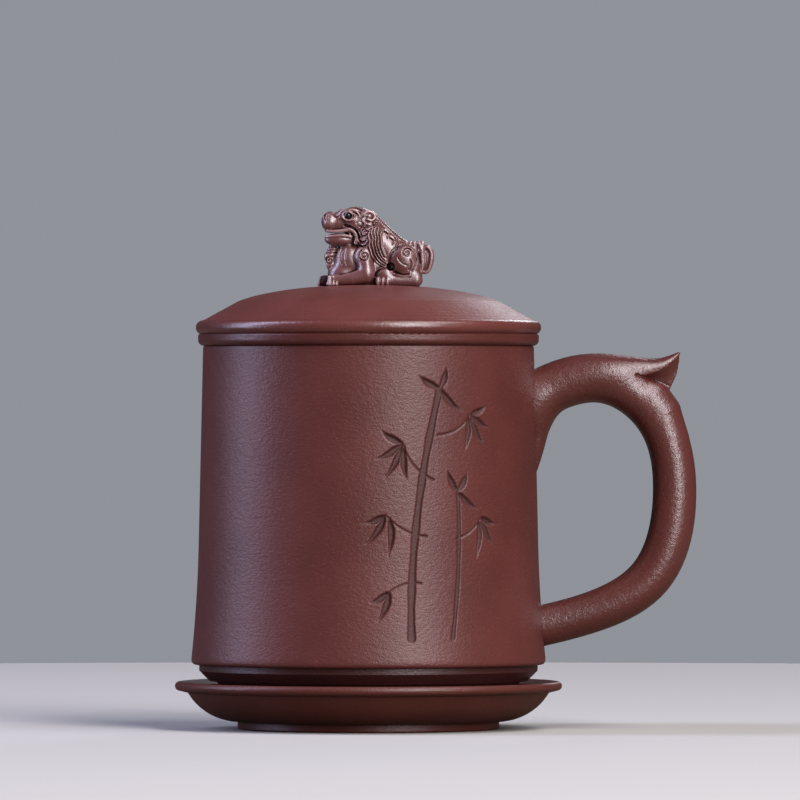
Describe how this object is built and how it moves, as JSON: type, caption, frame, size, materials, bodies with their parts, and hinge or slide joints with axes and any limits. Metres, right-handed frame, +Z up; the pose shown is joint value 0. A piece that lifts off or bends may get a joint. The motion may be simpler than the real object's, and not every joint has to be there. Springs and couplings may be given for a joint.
{
  "type": "lidded tea mug with infuser",
  "caption": "Lidded tea mug of unglazed clay with a loop handle, an infuser that hangs in its mouth, a saucer, and a guardian beast as the lid's knob.",
  "frame": {"origin": "on the mug's upright axis, in the plane that the saucer's foot ring stands on", "axes": "+Z up along the mug's axis; +X from the axis towards the handle; the beast on the lid looks towards -X, so +Y is on its right"},
  "size_m": [0.1356, 0.1006, 0.1359],
  "materials": {
    "clay": "satin, unglazed",
    "polished_clay": "polished, unglazed",
    "eye_bead": "gloss"
  },
  "bodies": {
    "saucer": {"saucer_dish": "clay", "saucer_foot_ring": "clay"},
    "mug": {"mug_foot_ring": "clay", "mug_base": "clay", "mug_wall": "clay", "handle_loop": "clay", "handle_thumb_spur": "clay"},
    "infuser": {"infuser_floor": "clay", "infuser_wall": "clay", "infuser_flange": "clay"},
    "lid": {"lid_collar": "clay", "lid_rim": "clay", "lid_dome": "clay", "beast_head": "polished_clay", "beast_lower_jaw": "polished_clay", "beast_torso": "polished_clay", "beast_mane": "polished_clay", "beast_foreleg_left": "polished_clay", "beast_foreleg_right": "polished_clay", "beast_hind_leg_left": "polished_clay", "beast_hind_leg_right": "polished_clay", "beast_chest_scroll": "polished_clay", "beast_tail": "polished_clay", "beast_tail_curl": "polished_clay", "beast_eye_left": "eye_bead", "beast_eye_right": "eye_bead"}
  },
  "joints": [
    {"name": "mug_lift", "type": "slide", "parent": "saucer", "child": "mug", "axis": [0, 0, 1], "range_m": [0, 0.06]},
    {"name": "infuser_lift", "type": "slide", "parent": "mug", "child": "infuser", "axis": [0, 0, 1], "range_m": [0, 0.09]},
    {"name": "lid_lift", "type": "slide", "parent": "infuser", "child": "lid", "axis": [0, 0, 1], "range_m": [0, 0.05]}
  ]
}
